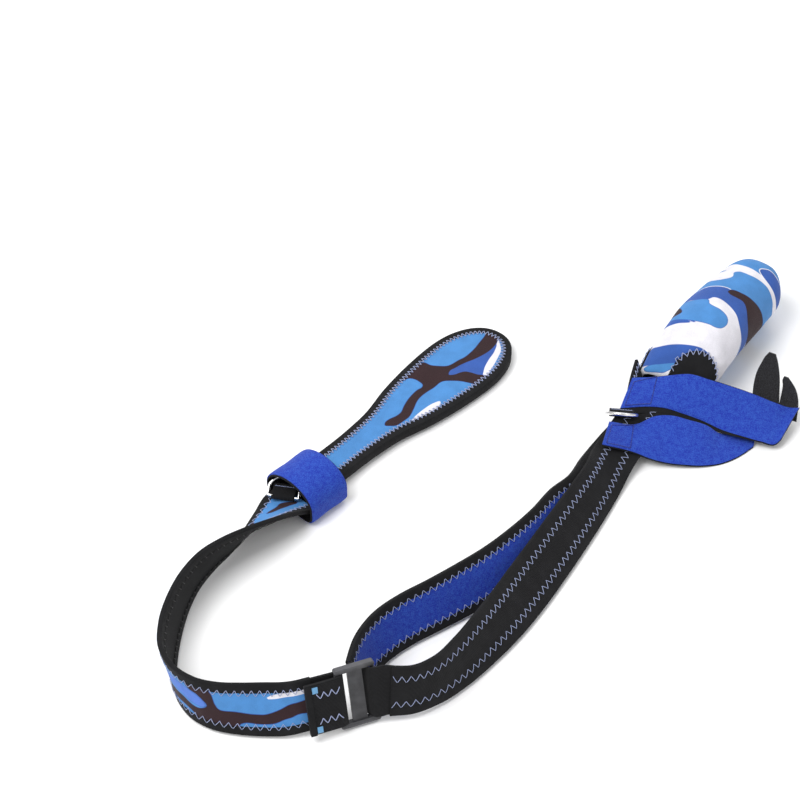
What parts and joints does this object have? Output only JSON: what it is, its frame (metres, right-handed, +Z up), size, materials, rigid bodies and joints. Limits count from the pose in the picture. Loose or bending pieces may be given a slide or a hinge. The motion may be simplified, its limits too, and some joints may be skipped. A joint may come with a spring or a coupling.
{
  "type": "fishing rod carrying strap",
  "caption": "Padded shoulder strap for carrying a fishing rod, with a butt cup, hook-and-loop rod wraps, D-rings, a slide buckle and a paddle-shaped tip cover.",
  "frame": {"origin": "middle of the laid-out strap's footprint, on the floor", "axes": "+Z up; +X from the tip cover's side to the butt cup's side; +Y away from the slide buckle, towards the cup's domed end"},
  "size_m": [0.5992, 0.5858, 0.0765],
  "materials": {
    "black_webbing": "matte ribbed webbing",
    "black_binding": "matte binding tape",
    "blue_loop_pile": "short looped pile",
    "camo_neoprene": "knit-faced foam with a printed camouflage",
    "black_neoprene": "knit-faced foam",
    "hook_tape": "hook tape",
    "buckle_plastic": "moulded, satin",
    "ring_nickel": "polished nickel plate"
  },
  "bodies": {
    "strap": {"front_strap_webbing": "black_webbing", "far_strap_webbing": "black_webbing", "camo_strap_back": "black_webbing", "strap_end_fold": "black_webbing", "loop_strap_turn": "black_webbing", "cup_ring_tab": "black_webbing", "tip_ring_tab": "black_webbing", "camo_strap_bindings": "black_binding", "front_strap_bindings": "black_binding", "far_strap_bindings": "black_binding", "cup_front_patch": "black_binding", "cup_side_patch": "black_binding", "front_strap_end": "black_binding", "far_strap_end": "black_binding", "tip_neck_binding": "black_binding", "strap_end_tape": "black_binding", "front_strap_lining": "blue_loop_pile", "far_strap_lining": "blue_loop_pile", "upper_wrap_base": "blue_loop_pile", "lower_wrap_base": "blue_loop_pile", "tip_wrap_band": "blue_loop_pile", "camo_strap_face": "camo_neoprene", "cup_shell": "camo_neoprene", "cup_dome": "camo_neoprene", "tip_neck_top": "camo_neoprene", "cup_lining": "black_neoprene", "tip_wrap_lining": "black_neoprene", "tip_neck_bottom": "black_neoprene"},
    "cup_ring": {"cup_d_ring": "ring_nickel"},
    "tip_ring": {"tip_d_ring": "ring_nickel"},
    "upper_wrap": {"upper_wrap_flap": "blue_loop_pile", "upper_wrap_hook": "hook_tape"},
    "lower_wrap": {"lower_wrap_flap": "blue_loop_pile", "lower_wrap_hook": "hook_tape"},
    "buckle": {"slide_buckle": "buckle_plastic"},
    "tip_cover": {"tip_cover_bottom": "black_neoprene", "tip_cover_top": "camo_neoprene", "tip_cover_binding": "black_binding"}
  },
  "joints": [
    {"name": "cup_ring_swing", "type": "hinge", "parent": "strap", "child": "cup_ring", "pos_m": [0.124, 0.0849, 0.0278], "axis": [0.9927, -0.1203, 0], "range_deg": [-100, 30]},
    {"name": "tip_ring_swing", "type": "hinge", "parent": "strap", "child": "tip_ring", "pos_m": [-0.1994, -0.0176, 0.018], "axis": [0.9835, -0.1806, 0], "range_deg": [-8, 20]},
    {"name": "upper_wrap_open", "type": "hinge", "parent": "strap", "child": "upper_wrap", "pos_m": [0.1575, 0.1124, 0.032], "axis": [-0.2547, -0.9055, -0.3395], "range_deg": [0, 95]},
    {"name": "lower_wrap_open", "type": "hinge", "parent": "strap", "child": "lower_wrap", "pos_m": [0.137, 0.0589, 0.0205], "axis": [-0.1751, -0.9631, -0.2043], "range_deg": [0, 57]},
    {"name": "buckle_tilt", "type": "hinge", "parent": "strap", "child": "buckle", "pos_m": [-0.14156, -0.27051, 0.03091], "axis": [-0.1048, 0.273, 0.9563], "range_deg": [-3, 6]},
    {"name": "tip_cover_fold", "type": "hinge", "parent": "strap", "child": "tip_cover", "pos_m": [-0.14124, 0.04714, 0.01465], "axis": [0.7547, -0.6561, 0], "range_deg": [0, 110]}
  ],
  "couplings": [
    {"joint": "lower_wrap_open", "follows": "upper_wrap_open", "ratio": 0.6}
  ]
}
